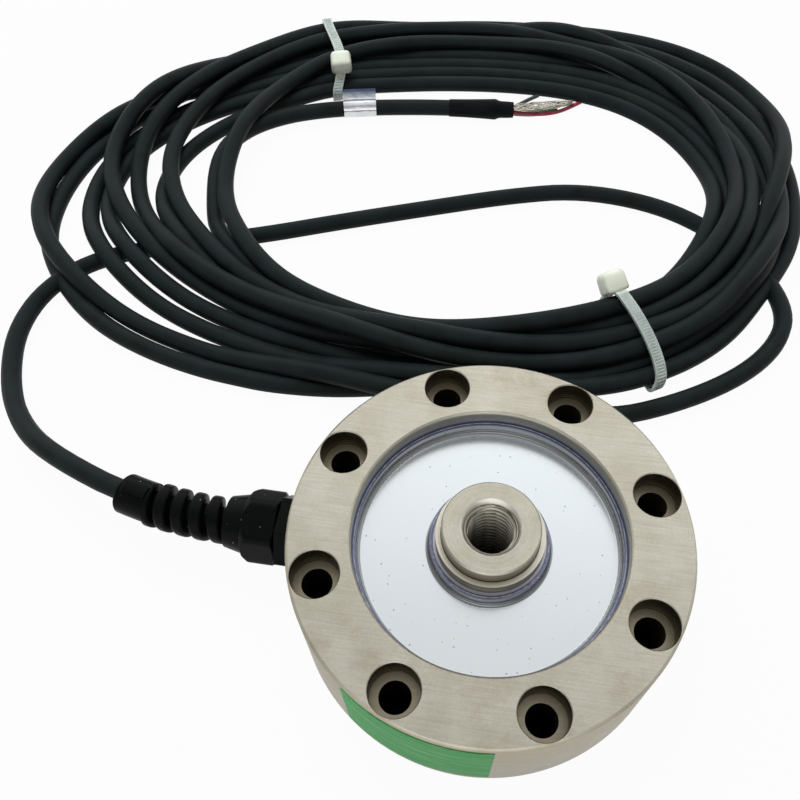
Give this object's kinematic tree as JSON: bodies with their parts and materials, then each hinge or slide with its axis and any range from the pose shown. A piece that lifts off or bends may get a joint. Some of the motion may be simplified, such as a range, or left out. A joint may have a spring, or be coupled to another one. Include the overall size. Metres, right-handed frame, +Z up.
{
  "type": "pancake load cell",
  "caption": "Low-profile round load cell: a bolted steel ring with a threaded centre boss, sealed pan covers, side cable gland and coiled signal cable with stripped end.",
  "frame": {"origin": "centre of the steel body's flat bottom face", "axes": "+Z up along the centre thread, towards the raised boss; -X through the cable gland; +Y behind the body, where the coil lies"},
  "size_m": [0.2533, 0.2779, 0.0334],
  "materials": {
    "plated_steel": "satin nickel plate over turned and ground steel",
    "polished_stainless": "polished sheet with laser-weld tint at its edges",
    "green_film": "plain matt film",
    "black_nylon": "moulded, slightly glossy",
    "black_rubber": "moulded",
    "black_pvc": "extruded jacket, matt",
    "natural_nylon": "moulded, translucent",
    "silver_foil": "foil laminate",
    "heat_shrink": "shrunk polyolefin",
    "tinned_copper": "braided",
    "red_pvc": "extruded",
    "dark_pvc": "extruded",
    "green_pvc": "extruded",
    "white_pvc": "extruded",
    "gauge_film": "polyimide film with foil grid",
    "enamelled_wire": "insulated bridge wire",
    "glass_epoxy": "printed board",
    "dark_ceramic": "chip"
  },
  "bodies": {
    "root": {"sensor_body": "plated_steel", "top_cover": "polished_stainless", "bottom_cover": "polished_stainless", "side_label": "green_film", "gauge_harness": "enamelled_wire", "terminal_board": "glass_epoxy", "trim_resistors": "dark_ceramic", "gland_gasket": "black_rubber", "gland_body": "black_nylon", "gland_seal": "black_rubber", "gland_cap": "black_nylon", "cable_lead": "black_pvc", "cable_coil": "black_pvc", "cable_tail": "black_pvc", "cable_marker": "silver_foil", "shrink_sleeve": "heat_shrink", "shield_braid": "tinned_copper", "cable_tie_1": "natural_nylon", "cable_tie_2": "natural_nylon", "strain_gauge_1": "gauge_film", "strain_gauge_2": "gauge_film", "strain_gauge_3": "gauge_film", "strain_gauge_4": "gauge_film", "strain_gauge_5": "gauge_film", "strain_gauge_6": "gauge_film", "strain_gauge_7": "gauge_film", "strain_gauge_8": "gauge_film", "inner_core_red": "red_pvc", "end_core_red": "red_pvc", "inner_core_black": "dark_pvc", "end_core_black": "dark_pvc", "inner_core_green": "green_pvc", "end_core_green": "green_pvc", "inner_core_white": "white_pvc", "end_core_white": "white_pvc"}
  },
  "joints": []
}
